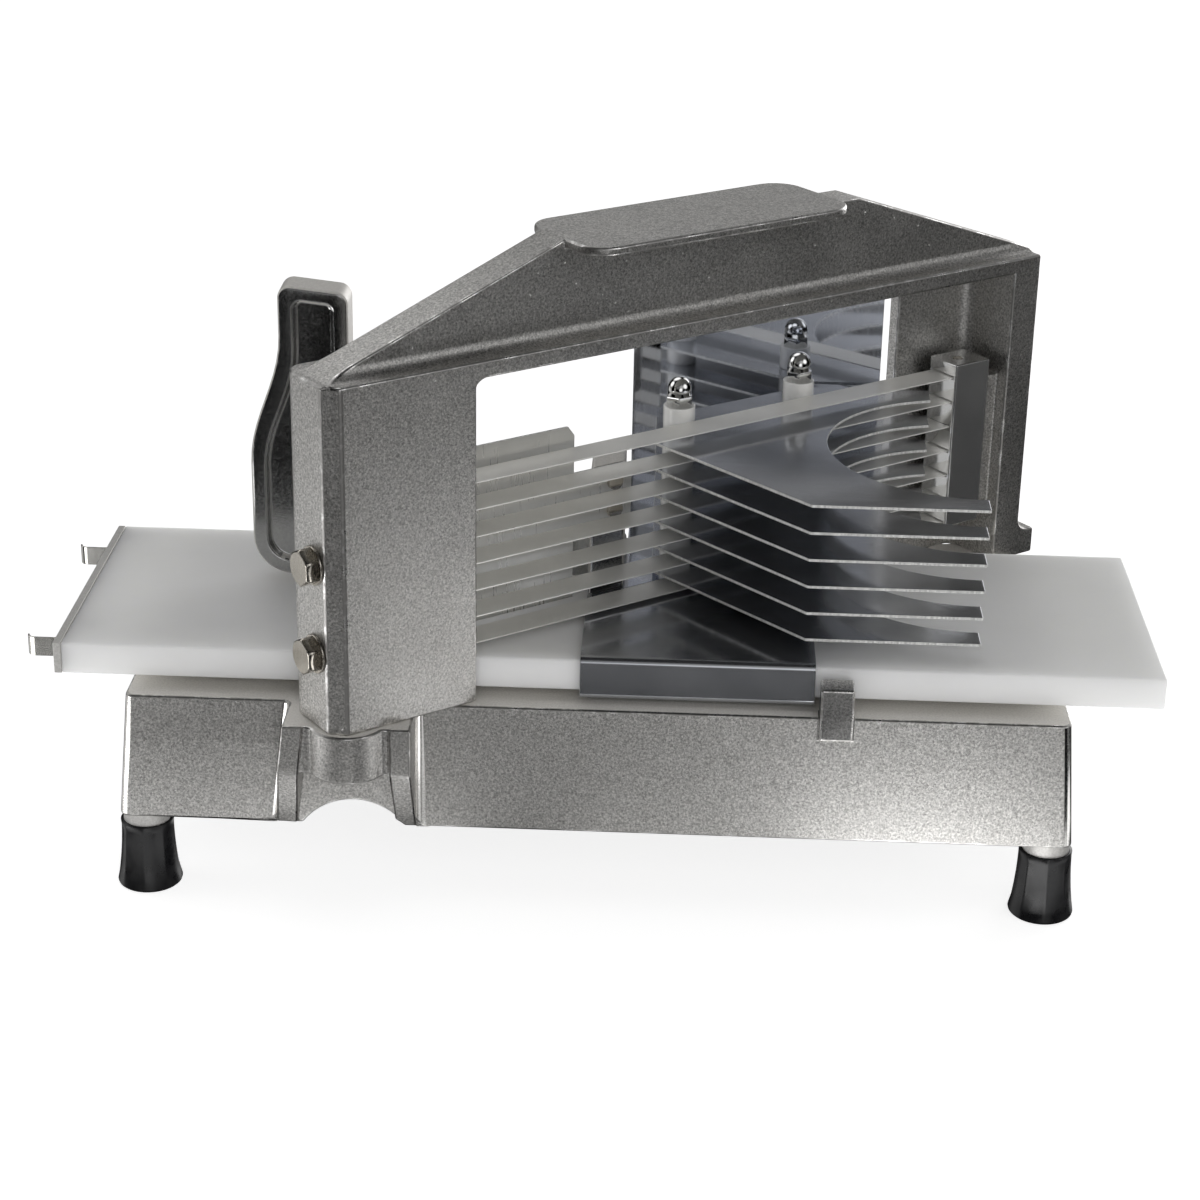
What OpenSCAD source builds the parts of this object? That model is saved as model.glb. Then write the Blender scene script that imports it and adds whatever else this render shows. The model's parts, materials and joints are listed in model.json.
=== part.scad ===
// Tomato slicer: a pusher with a stack of plates slides along a white board
// and drives the fruit through level blades held in a slanted cast bridge.
// Millimetres. X runs along the board, Y to the rear, Z up from the table.

/* [Base] */
// Length of the base casting at its top
base_length = 366; // [358:1:374]
// Depth of the base casting at its top
base_depth = 166; // [162:1:174]
// Height of the base casting
base_height = 50; // [44:1:58]
// How far the long walls lean out at the bottom
base_draft = 5.5; // [4:0.5:7]
// How far the end walls lean out at the bottom
end_draft = 3.5; // [2:0.5:5]
// Wall thickness of the base casting
base_wall = 5; // [4:0.5:6]
// Height of the rubber feet
foot_height = 28; // [24:1:36]
// Radius of a foot at the table
foot_radius = 12.8; // [12:0.2:14]

/* [Slide board] */
// Length of the board with its end bar
board_length = 430; // [424:1:440]
// Width of the board
board_width = 124.3; // [122:0.1:126]
// Thickness of the board
board_thick = 12.8; // [11:0.2:15]
// Height of the ribs that carry the board
rib_height = 5.2; // [5:0.1:7]
// Thickness of the metal end bar
end_bar_thick = 3; // [2.5:0.5:4]

/* [Blade frame] */
// Angle of the bridge to the board
frame_angle = 37; // [36.6:0.1:37.4]
// Place of the front left corner of the bridge along the board
frame_x = -93.3; // [-95:0.1:-92]
// Length of the bridge
frame_length = 345.5; // [343:0.5:349]
// Thickness of the bridge from front to back
frame_thick = 33.5; // [32:0.5:36]
// Width of the left post
post_width = 63; // [61:0.5:64]
// Width of the right post
right_post_width = 14.5; // [13:0.5:17]
// Thickness of the front wall of the left post
post_wall = 4.5; // [4:0.1:5]
// Width of the rear wall of the right post
rear_wall_width = 54; // [48:0.5:56]
// Height of the window above the board
window_height = 112.8; // [110:0.2:118]
// Height of the hand pad above the board
pad_height = 158; // [154:1:164]
// Depth of the hand pad
pad_depth = 49; // [44:1:54]

/* [Blades] */
// Distance from blade to blade
blade_pitch = 11; // [10.6:0.1:11.4]
// Distance of the blade line behind the front face of the bridge
blade_t = 13.25; // [12.5:0.25:14]
// Width of a blade
blade_width = 13; // [11:0.5:14]
// Thickness of a blade
blade_thick = 0.5; // [0.4:0.1:0.8]
// Height of the lowest blade above the board
blade_lift = 3.5; // [3.3:0.1:4]

/* [Pusher] */
// Length of the saddle along the board
saddle_length = 90.7; // [88:0.1:92]
// Left edge of the saddle at rest
saddle_x = -6.7; // [-8:0.1:-6]
// Thickness of the saddle sheet
saddle_sheet = 1.5; // [1.2:0.1:1.6]
// Half the width of the pusher plates
plate_half = 70; // [68:0.5:70.5]
// Radius of the round mouth in the plates
mouth_radius = 59; // [56:0.5:60]
// Thickness of a pusher plate
plate_thick = 1.2; // [1:0.1:1.6]
// Radius of the tie rods
rod_radius = 3; // [2.5:0.1:3.2]
// Radius of the spacers on the rods
spacer_radius = 6.5; // [6:0.1:7]
// Height of the back plate above the board
back_height = 106; // [100:1:108]
// Height of the hand guard above the board
guard_height = 77; // [72:1:84]
// Height of the grip above the board
grip_height = 126; // [120:1:134]
// Thickness of the handle casting
grip_thick = 16; // [14:0.5:17]

/* [Hidden] */
$fn = 64;
blade_count = 7;
plate_count = 6;
running_gap = 0.3;
hole_gap = 0.05;
free_gap = 0.2;
stub_height = 6.5;
base_z = foot_height + stub_height;
base_top = base_z + base_height;
base_corner = 4;
base_roof = 5;
board_z = base_top + rib_height;
board_top = board_z + board_thick;
board_left = -211.5;
rib_length = 330;
rib_width = 12;
rib_inset = 20;
board_screw_x = 140;
board_screw = 2;
board_screw_head = 4;
board_screw_bite = 7.5;
board_front = -base_depth / 2 + 7;
board_rear = board_front + board_width;
skirt_out = running_gap + saddle_sheet;
saddle_top = board_top + running_gap + saddle_sheet;
lip_top = board_z - 1.4;
lip_width = 9;

// The bridge has its own axes: u along it, t from its front face to its back
frame_gap = 0.6;
saddle_room = 0.5;
post_left = -4;
window_left = post_left + post_width;
frame_right = post_left + frame_length;
window_right = frame_right - right_post_width;
frame_y = board_front - skirt_out - frame_gap - window_left * sin(frame_angle);
window_top = board_top + window_height;
beam_top = window_top + 6.7;
pad_top = board_top + pad_height;
pad_thick = 3.5;
web_thick = 16.5;
web_t = (frame_thick - web_thick) / 2;
web_mid = 166;
web_over = 17;
web_end = 1.5;
pad_half = 63;
pad_round = 12;
end_wall = 10;
post_chamfer = 5.6;
post_round = 8;
rear_wall = 6;
toe_reach = 9.3;
toe_depth = 2 * blade_t;
foot_block = 11.5;
foot_block_length = 44;
window_round = 6;
blade_low = board_top + blade_lift;

holder_length = 19;
holder_thick = 2 * (blade_t - post_wall - 0.25);
holder_top = blade_low + (blade_count - 1) * blade_pitch + 6;
left_holder_u = 8;
right_seat = 6;
seat_width = 14;
seat_drop = 8;
right_holder_u = window_right - right_seat - holder_length;
blade_inset = 12;
blade_from = left_holder_u + holder_length - blade_inset;
blade_to = right_holder_u + blade_inset;
pin_radius = 2;
pin_inset = 4;
bolt_radius = 4;
bolt_flat = 13;
bolt_head = 5.3;
washer = 1.2;
washer_radius = 7.6;
bolt_drop = 17.8;
bolt_mid = (blade_low + holder_top) / 2 - 9;
bolt_depth = holder_length - blade_inset - free_gap;

front_boss = [-93.9, -base_depth / 2 - 16.9];
rear_boss_u = 333;
boss_radius = 15;
boss_height = 19.6;
boss_blend = 4;
cheek_near = 16.5;
cheek_thick = 8;
cheek_front = 6.6;
shelf_front = cheek_front - 0.5;
cheek_lean = 6.5;
cheek_fillet = 4;
blend_bite = 0.3;
arch_radius = 25;
arch_rise = 10;
rear_boss = [frame_x + rear_boss_u * cos(frame_angle) - blade_t * sin(frame_angle),
             frame_y + rear_boss_u * sin(frame_angle) + blade_t * cos(frame_angle)];
front_reach = -base_depth / 2 - front_boss[1];
rear_reach = rear_boss[1] - base_depth / 2;
frame_bolt_radius = 4;
frame_bolt_bite = 9;
bolt_sink = 9;

foot_x = base_length / 2 - 5;
foot_y = base_depth / 2 - 7;
foot_top_radius = 10.5;
foot_bore = 3;
foot_post = 9;
foot_flange = 9.3;
foot_stud_bite = 14;
foot_stud_up = 16;

rod_t = blade_t + blade_width / 2 + 2 + spacer_radius;
rod_u = [173.4, 235.1];
back_y = plate_half + 4;
back_inset = 14.7;
back_length = 105;
back_left = saddle_x + back_inset;
back_right = back_left + back_length;
flange_thick = 1.2;
flange_t = blade_t + blade_width / 2 + 1.8;
plate_low = blade_low + blade_pitch / 2;
plate_high = plate_low + (plate_count - 1) * blade_pitch;
spacer_bore = rod_radius + hole_gap;
nut_flat = 10;
nut_hex = 4.5;
nut_dome = 5;
nut_neck = 2.5;
rod_bite = 6;
nut_seat = plate_high + plate_thick / 2 + blade_pitch - plate_thick;
rod_top = nut_seat + rod_bite;
nose_inset = 25.7;
kink_inset = 86.2;
tip_inset = 153.7;
tip_step = 13.5;
nose_x = saddle_x + nose_inset;
kink_x = saddle_x + kink_inset;
tip_x = saddle_x + tip_inset;
rear_tip_x = tip_x - tip_step;
nose_front = -5.5;
nose_rear = 26;

guard_thick = 1.2;
guard_t = blade_t + blade_width / 2 + 3.75;
guard_u = [30, 119];
tab_end = 147;
tab_z = [board_top + 31, board_top + 57];
guard_lift = 2.2;
post_x = [saddle_x + 0.7, saddle_x + 14.2];
post_rear = 10;
stud_radius = 2.5;
stud_y = [18, 32];
stud_foot_rear = 40;
stud_foot_thick = 6;
stud_nut_flat = 8;
stud_nut_height = 4;
arm_z = [board_top + 6, board_top + 38];
grip_right = -103;
grip_low = 3.5;
grip_bow = 12.5;
grip_round = 16;
grip_lean = 3;
grip_width = 28;
grip_rim = 6.5;
grip_recess = 3;
grip_corner = 5;
recess_corner = 3;
arm_thick = grip_thick - 1;
guard_screw_z = [tab_z[0] + 7, tab_z[1] - 7];
guard_screw_u = 138.5;
guard_screw_radius = 2;
guard_screw_bite = 8;
guard_head = 3.4;
guard_head_height = 1.6;

stop_gap = 2;
stop_x = saddle_x + saddle_length + stop_gap;
stop_width = 13;
stop_thick = 9.6;
stop_low = 26.4;
stop_high = 4;
stop_crease = 14;
stop_fall = 1.2;
clip_y = [14, board_width - 16];
clip_strip = 0.8;
clip_tall = 8;
clip_reach = 13.2;
clip_leg = 12;
clip_drop = 3;
clip_bend = 2.6;
clip_hook = 3.4;
clip_screw = 1.5;
clip_screw_bite = 10;
clip_head = 2.7;
clip_head_height = 1.1;

// Outermost places of the whole object
clip_tip = board_left - clip_reach;
board_right = board_left + board_length;
boss_front = front_boss[1] - boss_radius;
wall_rear = frame_y + max(frame_right * sin(frame_angle) + frame_thick * cos(frame_angle),
                          (frame_right + toe_reach) * sin(frame_angle) + toe_depth * cos(frame_angle));

// Child shapes move so that the whole object stands centred over the origin
module placed() {
  translate([-(clip_tip + board_right) / 2, -(boss_front + wall_rear) / 2, 0]) children();
}

// Child shapes are drawn in the axes of the bridge
module on_frame() {
  translate([frame_x, frame_y, 0]) rotate([0, 0, frame_angle]) children();
}

// A rectangle with round corners, low corner at the origin
module round_rect(size, r) {
  translate([r, 0]) square([size[0] - 2 * r, size[1]]);
  translate([0, r]) square([size[0], size[1] - 2 * r]);
  for (x = [r, size[0] - r])
    for (y = [r, size[1] - r])
      translate([x, y]) circle(r);
}

// A block that leans out towards its bottom
module drafted(length, depth, height, r) {
  low = [length + 2 * end_draft, depth + 2 * base_draft];
  linear_extrude(height, scale = [length / low[0], depth / low[1]], slices = 1)
    translate(-low / 2) round_rect(low, r, $fn = 32);
}

// A hexagonal prism with the given width across flats
module hex(flat, height) {
  cylinder(d = flat / cos(30), h = height, $fn = 6);
}

// The four places of the feet
module at_feet() {
  for (sx = [-1, 1])
    for (sy = [-1, 1])
      translate([sx * foot_x, sy * foot_y, 0]) children();
}

// The places of the screws that hold the board down
module at_board_screws() {
  inset = rib_inset + rib_width / 2;
  for (x = [-board_screw_x, board_screw_x])
    for (y = [board_front + inset, board_rear - inset])
      translate([x, y, 0]) children();
}

// The outer form of the base
module base_body() {
  translate([0, 0, base_z]) drafted(base_length, base_depth, base_height, base_corner);
}

// Child shapes are kept between the bottom and the top of the base
module base_layer() {
  intersection() {
    children();
    translate([-base_depth / 2, -base_depth / 2, base_z]) cube([base_depth, base_depth, base_height]);
  }
}

// Hollow blend from a round boss to the front of its shelf
module boss_fillet() {
  apart = boss_radius + boss_blend - blend_bite;
  middle = [sqrt(pow(apart, 2) - pow(shelf_front + boss_blend, 2)), -shelf_front - boss_blend];
  difference() {
    linear_extrude(boss_height) polygon([[0, 0], middle, middle + [0, boss_blend]]);
    translate([middle[0], middle[1], -1]) cylinder(r = boss_blend, h = boss_height + 2);
  }
}

// Side form of a cheek: level with the wall at the bottom, full depth from the shelf upwards
module cheek_side(reach, thick) {
  front = -reach - 2 - cheek_front;
  over = 2;
  translate([0, 0, -base_height]) rotate([0, -90, 0]) linear_extrude(thick)
    polygon([[-over, 0], [-over, -2 - base_draft], [0, -2 - base_draft],
             [base_height - boss_height, front], [base_height + over, front], [base_height + over, 0]]);
}

// Cheek on the right of a corbel, leaning out towards its bottom, with a hollow fillet to the wall
module cheek(reach, lean) {
  over = 2;
  base_layer() {
    translate([cheek_near + cheek_thick, reach + 2, base_top]) rotate([0, -lean, 0])
      cheek_side(reach, cheek_thick);
    intersection() {
      translate([cheek_near + cheek_thick, reach, base_top])
        rotate([-atan(base_draft / base_height), -lean, 0])
          translate([0, 0, -base_height - 2 * over]) linear_extrude(base_height + 3 * over) difference() {
            translate([-over, -cheek_fillet]) square(cheek_fillet + over);
            translate([cheek_fillet, -cheek_fillet]) circle(cheek_fillet + blend_bite);
          }
      translate([cheek_near + cheek_thick, reach + 2.5, base_top]) rotate([0, -lean, 0])
        translate([2 * cheek_fillet, 0, 0]) cheek_side(reach, 2 * cheek_fillet + 2 * over);
    }
  }
}

// A corbel for a post of the bridge: a round boss, a shelf to the wall and a cheek on each side given
// with its lean
module corbel(reach, sides) {
  translate([0, 0, base_top - boss_height]) {
    cylinder(r = boss_radius, h = boss_height);
    translate([-boss_radius, 0, 0]) cube([2 * boss_radius, reach + 2, boss_height]);
  }
  for (side = sides)
    mirror([side[0] < 0 ? 1 : 0, 0, 0]) {
      translate([0, 0, base_top - boss_height]) {
        translate([-1, -shelf_front, 0])
          cube([1 + cheek_near + cheek_thick / 2, shelf_front + reach + 2, boss_height]);
        boss_fillet();
      }
      cheek(reach, side[1]);
    }
}

// An arch through the wall under a corbel
module arch(reach) {
  translate([0, reach - base_draft - 4, base_z + arch_rise - arch_radius]) rotate([-90, 0, 0])
    cylinder(r = arch_radius, h = base_wall + base_draft + 5);
}

// Side view of the stop for the saddle
module stop_side() {
  polygon([[0, -stop_low], [0, -stop_high], [stop_fall - stop_thick, -stop_high - stop_fall],
           [-stop_thick, -stop_crease], [-stop_thick, -stop_low]]);
}

module base_casting() {
  color([0.72, 0.73, 0.74]) placed() difference() {
    union() {
      difference() {
        base_body();
        translate([0, 0, base_z - 1])
          drafted(base_length - 2 * base_wall, base_depth - 2 * base_wall, base_height + 1 - base_roof,
                  base_corner - 2);
      }
      translate([front_boss[0], front_boss[1], 0]) corbel(front_reach, [[-1, cheek_lean], [1, 0]]);
      translate([rear_boss[0], rear_boss[1], 0]) rotate([0, 0, 180]) corbel(rear_reach, [[1, 0]]);
      // Ribs under the board
      for (y = [board_front + rib_inset, board_rear - rib_inset - rib_width])
        translate([-rib_length / 2, y, base_top - 1]) cube([rib_length, rib_width, rib_height + 1]);
      // Posts inside the corners for the feet
      intersection() {
        base_body();
        at_feet() translate([0, 0, base_z]) cylinder(r = foot_post, h = base_height - 1);
      }
      // Stop for the saddle
      translate([stop_x, board_front - frame_gap, board_top]) rotate([90, 0, 90])
        linear_extrude(stop_width) stop_side();
    }
    at_feet() translate([0, 0, base_z - 1]) cylinder(r = foot_bore + hole_gap, h = foot_stud_up + 1);
    at_board_screws() translate([0, 0, base_z])
      cylinder(r = board_screw + free_gap, h = base_height + rib_height + 1);
    translate([front_boss[0], front_boss[1], 0]) arch(front_reach);
    for (p = [front_boss, rear_boss]) translate([p[0], p[1], base_top - boss_height - 1]) {
      cylinder(r = frame_bolt_radius + free_gap, h = boss_height + 2);
      cylinder(r = bolt_sink, h = 1 + bolt_head + free_gap);
    }
  }
}

// A rubber foot with its middle at the origin
module foot() {
  color([0.06, 0.06, 0.06]) placed() rotate_extrude()
    polygon([[foot_bore + hole_gap, foot_height - foot_stud_bite], [foot_bore + hole_gap, foot_height],
             [foot_top_radius, foot_height], [foot_top_radius + 0.4, 14], [foot_radius - 0.6, 5],
             [foot_radius, 3], [foot_radius, 1], [foot_radius - 1, 0], [0, 0],
             [0, foot_height - foot_stud_bite]]);
}

module foot_front_left() {
  translate([-foot_x, -foot_y, 0]) foot();
}

module foot_front_right() {
  translate([foot_x, -foot_y, 0]) foot();
}

module foot_rear_left() {
  translate([-foot_x, foot_y, 0]) foot();
}

module foot_rear_right() {
  translate([foot_x, foot_y, 0]) foot();
}

// Studs that join the feet to the base, each with a flange on top of the foot
module foot_studs() {
  color([0.75, 0.75, 0.76]) placed() at_feet() {
    translate([0, 0, foot_height - foot_stud_bite])
      cylinder(r = foot_bore, h = foot_stud_bite + stub_height + foot_stud_up - 1);
    translate([0, 0, foot_height]) cylinder(r = foot_flange, h = stub_height);
  }
}

module slide_board() {
  color([0.93, 0.93, 0.92]) placed() difference() {
    translate([board_left + end_bar_thick, board_front, board_z])
      cube([board_length - end_bar_thick, board_width, board_thick]);
    at_board_screws() translate([0, 0, board_z - 1]) cylinder(r = board_screw, h = board_screw_bite + 1.5);
    clip_holes();
  }
}

module board_screws() {
  color([0.7, 0.7, 0.72]) placed() at_board_screws() {
    translate([0, 0, base_top - base_roof])
      cylinder(r = board_screw - hole_gap, h = base_roof + rib_height + board_screw_bite);
    translate([0, 0, base_top - base_roof - board_screw]) cylinder(r = board_screw_head, h = board_screw);
  }
}

module end_bar() {
  color([0.78, 0.78, 0.78]) placed() difference() {
    translate([board_left, board_front, board_z]) cube([end_bar_thick, board_width, board_thick]);
    clip_holes();
  }
}

// The places of the clip screws, their axes pointing out of the end of the board
module at_clip_screws() {
  for (y = clip_y)
    translate([board_left, board_front + y + 0.6 * clip_leg, board_top - clip_drop - clip_tall / 2])
      rotate([0, -90, 0]) children();
}

// Holes for the clip screws
module clip_holes() {
  at_clip_screws() translate([0, 0, -end_bar_thick - clip_screw_bite - 1])
    cylinder(r = clip_screw + hole_gap, h = end_bar_thick + clip_screw_bite + 4);
}

// A quarter of a bent strip, from the negative Y axis to the X axis given by side
module strip_bend(r, side) {
  intersection() {
    difference() {
      circle(r);
      circle(r - clip_strip);
    }
    translate([side < 0 ? -r : 0, -r]) square(r);
  }
}

// A bent spring strip seen from above, its flat leg on the end bar
module clip_shape() {
  hook_x = clip_hook - clip_reach;
  translate([-clip_strip, 0]) square([clip_strip, clip_leg]);
  translate([-clip_bend, 0]) strip_bend(clip_bend, 1);
  translate([hook_x, -clip_bend]) square([-clip_bend - hook_x, clip_strip]);
  translate([hook_x, clip_hook - clip_bend]) strip_bend(clip_hook, -1);
}

module end_clip(y) {
  color([0.8, 0.8, 0.8]) placed() difference() {
    translate([board_left, board_front + y, board_top - clip_drop - clip_tall])
      linear_extrude(clip_tall) clip_shape();
    clip_holes();
  }
}

module end_clip_front() {
  end_clip(clip_y[0]);
}

module end_clip_rear() {
  end_clip(clip_y[1]);
}

// Screws through the clips and the end bar into the board
module clip_screws() {
  color([0.7, 0.7, 0.7]) placed() at_clip_screws() {
    translate([0, 0, -end_bar_thick - clip_screw_bite])
      cylinder(r = clip_screw, h = end_bar_thick + clip_screw_bite + clip_strip);
    translate([0, 0, clip_strip]) cylinder(r = clip_head, h = clip_head_height);
  }
}

// Plan of the left post: a front wall and an end wall, chamfered in front and rounded at the rear
module post_plan() {
  difference() {
    union() {
      translate([post_left, 0]) square([post_width, post_wall]);
      translate([post_left, 0]) square([end_wall, frame_thick]);
    }
    translate([post_left, 0]) polygon([[-1, -1], [post_chamfer + 1, -1], [-1, post_chamfer + 1]]);
    post_corner();
  }
}

// What is cut off the rear left corner of the bridge
module post_corner() {
  translate([post_left, frame_thick]) difference() {
    translate([-1, -post_round]) square([post_round + 1, post_round + 1]);
    translate([post_round, -post_round]) circle(post_round);
  }
}

// Plan of the right post, with a wall that shields the blade ends from the rear
module right_plan() {
  translate([window_right, 0]) square([right_post_width, frame_thick]);
  translate([frame_right - rear_wall_width, frame_thick - rear_wall]) square([rear_wall_width, rear_wall]);
  translate([window_right - window_round, frame_thick - rear_wall - window_round]) difference() {
    square(window_round);
    circle(window_round);
  }
}

// Side view of the right post's toe, hollowed where it meets the post
module toe_side() {
  difference() {
    square([right_post_width + toe_reach, foot_block + window_round]);
    translate([right_post_width + window_round, foot_block + window_round]) circle(window_round);
    translate([right_post_width + window_round, foot_block]) square(2 * window_round);
  }
}

// Side view of the web above the beam
module web_side() {
  pad_low = pad_top - pad_thick;
  left = web_mid - pad_half;
  right = web_mid + pad_half;
  polygon([[post_left, beam_top - 1], [left, pad_top], [right, pad_top], [right, pad_low],
           [right + web_over, pad_low], [frame_right, beam_top + web_end], [frame_right, beam_top - 1]]);
}

module blade_frame() {
  fillet = 5;
  bolt_z = [bolt_mid - bolt_drop, bolt_mid + bolt_drop];
  color([0.68, 0.68, 0.68]) placed() difference() {
    on_frame() difference() {
      union() {
        // Left post with its foot
        translate([0, 0, base_top]) linear_extrude(beam_top - base_top) post_plan();
        translate([post_left + post_chamfer, 0, base_top]) cube([foot_block_length, frame_thick, foot_block]);
        // Beam
        translate([0, 0, window_top]) linear_extrude(beam_top - window_top) difference() {
          translate([post_left, 0]) square([frame_length, frame_thick]);
          translate([post_left, 0]) polygon([[-1, -1], [post_chamfer + 1, -1], [-1, post_chamfer + 1]]);
          post_corner();
        }
        // Round corner between the beam and the left post
        translate([0, post_wall, 0]) rotate([90, 0, 0]) linear_extrude(post_wall) difference() {
          translate([window_left - 1, window_top - window_round]) square([window_round, window_round + 1]);
          translate([window_left + window_round - 1, window_top - window_round]) circle(window_round);
        }
        // Right post, its foot and the seat of the blade holder
        translate([0, 0, base_top]) linear_extrude(beam_top - base_top) right_plan();
        translate([window_right, toe_depth, base_top])
          rotate([90, 0, 0]) linear_extrude(toe_depth) toe_side();
        translate([window_right - right_seat, blade_t - seat_width / 2, blade_low])
          cube([right_seat + 1, seat_width, holder_top - blade_low - seat_drop]);
        // Web, its fillets and the hand pad
        translate([0, web_t + web_thick, 0]) rotate([90, 0, 0]) linear_extrude(web_thick) web_side();
        intersection() {
          translate([0, frame_thick, 0]) rotate([90, 0, 0]) linear_extrude(frame_thick) web_side();
          for (m = [0, 1])
            translate([post_left + m * post_round, 0, 0]) rotate([90, 0, 90])
              linear_extrude(frame_length - m * post_round)
                translate([m * frame_thick, 0]) mirror([m, 0]) difference() {
                  translate([web_t - fillet, beam_top - 1]) square([fillet + 1, fillet + 1]);
                  translate([web_t - fillet, beam_top + fillet]) circle(fillet);
                }
        }
        translate([web_mid - pad_half, blade_t - pad_depth / 2, pad_top - pad_thick])
          linear_extrude(pad_thick) round_rect([2 * pad_half, pad_depth], pad_round);
      }
      // Holes for the bolts of the blade holders
      for (z = bolt_z) {
        translate([post_left - 1, blade_t, z]) rotate([0, 90, 0])
          cylinder(r = bolt_radius + free_gap, h = end_wall + 4);
        translate([window_right - right_seat - 1, blade_t, z]) rotate([0, 90, 0])
          cylinder(r = bolt_radius + free_gap, h = right_seat + right_post_width + 4);
      }
    }
    // Room for the saddle along the front of the board
    translate([board_left, board_front - skirt_out - frame_gap, base_top - 1])
      cube([board_length, board_width, saddle_top + saddle_room + 1 - base_top]);
    for (p = [front_boss, rear_boss])
      translate([p[0], p[1], base_top - 1]) cylinder(r = frame_bolt_radius, h = frame_bolt_bite + 1);
  }
}

// Bolts from below that hold the bridge on the base
module frame_bolts() {
  color([0.7, 0.7, 0.72]) placed() for (p = [front_boss, rear_boss])
    translate([p[0], p[1], base_top - boss_height]) {
      cylinder(r = frame_bolt_radius - hole_gap, h = boss_height + frame_bolt_bite - 0.5);
      translate([0, 0, free_gap]) hex(bolt_flat, bolt_head);
    }
}

// Hexagon bolts on the left end that pull the blades tight
module tension_bolts() {
  color([0.7, 0.69, 0.66]) placed() on_frame()
    for (z = [bolt_mid - bolt_drop, bolt_mid + bolt_drop]) translate([post_left, blade_t, z]) {
      translate([-bolt_head - washer, 0, 0]) rotate([0, 90, 0]) hex(bolt_flat, bolt_head);
      translate([-washer, 0, 0]) rotate([0, 90, 0]) cylinder(r = washer_radius, h = washer);
      translate([-washer - 2, 0, 0]) rotate([0, 90, 0])
        cylinder(r = bolt_radius - hole_gap, h = washer + 2 + left_holder_u - post_left + bolt_depth - 0.5);
    }
}

// Hexagon bolts on the right end
module anchor_bolts() {
  color([0.7, 0.69, 0.66]) placed() on_frame()
    for (z = [bolt_mid - bolt_drop, bolt_mid + bolt_drop]) translate([frame_right, blade_t, z]) {
      rotate([0, 90, 0]) hex(bolt_flat, bolt_head);
      translate([2, 0, 0]) rotate([0, -90, 0])
        cylinder(r = bolt_radius - hole_gap, h = 2 + right_post_width + right_seat + bolt_depth - 0.5);
    }
}

// A holder bar with a slot for every blade; the blades enter from the side given by inner
module holder(u, inner, bolt_side) {
  slot = [2 * (blade_inset + hole_gap), blade_width + 2 * hole_gap, blade_thick + 2 * hole_gap];
  translate([0, blade_t, 0]) difference() {
    translate([u, -holder_thick / 2, saddle_top])
      cube([holder_length, holder_thick, holder_top - saddle_top]);
    for (i = [0 : blade_count - 1])
      translate([inner, 0, blade_low + i * blade_pitch]) cube(slot, center = true);
    for (s = [-1, 1])
      translate([inner + s * (blade_inset - pin_inset), 0, saddle_top - 1])
        cylinder(r = pin_radius + hole_gap, h = holder_top);
    for (z = [bolt_mid - bolt_drop, bolt_mid + bolt_drop])
      translate([bolt_side - bolt_depth, 0, z]) rotate([0, 90, 0])
        cylinder(r = bolt_radius, h = 2 * bolt_depth);
  }
}

module holder_left() {
  inner = left_holder_u + holder_length;
  color([0.8, 0.8, 0.82]) placed() on_frame() holder(left_holder_u, inner, left_holder_u);
}

module holder_right() {
  outer = right_holder_u + holder_length;
  color([0.8, 0.8, 0.82]) placed() on_frame() holder(right_holder_u, right_holder_u, outer);
}

// Pins through the ends of all blades
module blade_pins() {
  color([0.75, 0.75, 0.76]) placed() on_frame() for (u = [blade_from + pin_inset, blade_to - pin_inset])
    translate([u, blade_t, saddle_top]) cylinder(r = pin_radius, h = holder_top - saddle_top);
}

// One blade, counted from the board upwards
module blade(i) {
  color([0.82, 0.82, 0.83]) placed() on_frame() difference() {
    translate([blade_from, blade_t - blade_width / 2, blade_low + (i - 1) * blade_pitch - blade_thick / 2])
      cube([blade_to - blade_from, blade_width, blade_thick]);
    for (u = [blade_from + pin_inset, blade_to - pin_inset])
      translate([u, blade_t, 0]) cylinder(r = pin_radius + hole_gap, h = holder_top);
  }
}

module blade_1() {
  blade(1);
}

module blade_2() {
  blade(2);
}

module blade_3() {
  blade(3);
}

module blade_4() {
  blade(4);
}

module blade_5() {
  blade(5);
}

module blade_6() {
  blade(6);
}

module blade_7() {
  blade(7);
}

// Section of the sheet that wraps the board
module saddle_section() {
  bend = 2.5;
  front = board_front - skirt_out;
  rear = board_rear + skirt_out;
  low = lip_top - saddle_sheet;
  difference() {
    translate([front, low]) round_rect([rear - front, saddle_top - low], bend);
    translate([front + saddle_sheet, lip_top])
      square([rear - front - 2 * saddle_sheet, saddle_top - saddle_sheet - lip_top]);
    translate([front + lip_width, low - 1]) square([rear - front - 2 * lip_width, 6]);
  }
}

module saddle() {
  color([0.8, 0.8, 0.82]) placed() difference() {
    translate([saddle_x, 0, 0]) rotate([90, 0, 90]) linear_extrude(saddle_length) saddle_section();
    for (y = stud_y)
      translate([(post_x[0] + post_x[1]) / 2, y, saddle_top - 3]) cylinder(r = stud_radius, h = 6);
  }
}

// Places of the tie rods
module at_rods() {
  on_frame() for (u = rod_u) translate([u, rod_t, 0]) children();
}

// Polished sheet behind the plates, its flange cut clear of the blades
module back_plate() {
  color([0.85, 0.86, 0.88]) placed() difference() {
    union() {
      translate([back_left, back_y, saddle_top])
        cube([back_right - back_left, flange_thick, board_top + back_height - saddle_top]);
      intersection() {
        translate([back_left, -30, saddle_top])
          cube([back_right - back_left, back_y + 30 + flange_thick, flange_thick]);
        on_frame() translate([0, flange_t, saddle_top - 1]) cube([400, 150, 4]);
      }
    }
    at_rods() translate([0, 0, saddle_top - 1]) cylinder(r = rod_radius + hole_gap, h = 4);
  }
}

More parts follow.
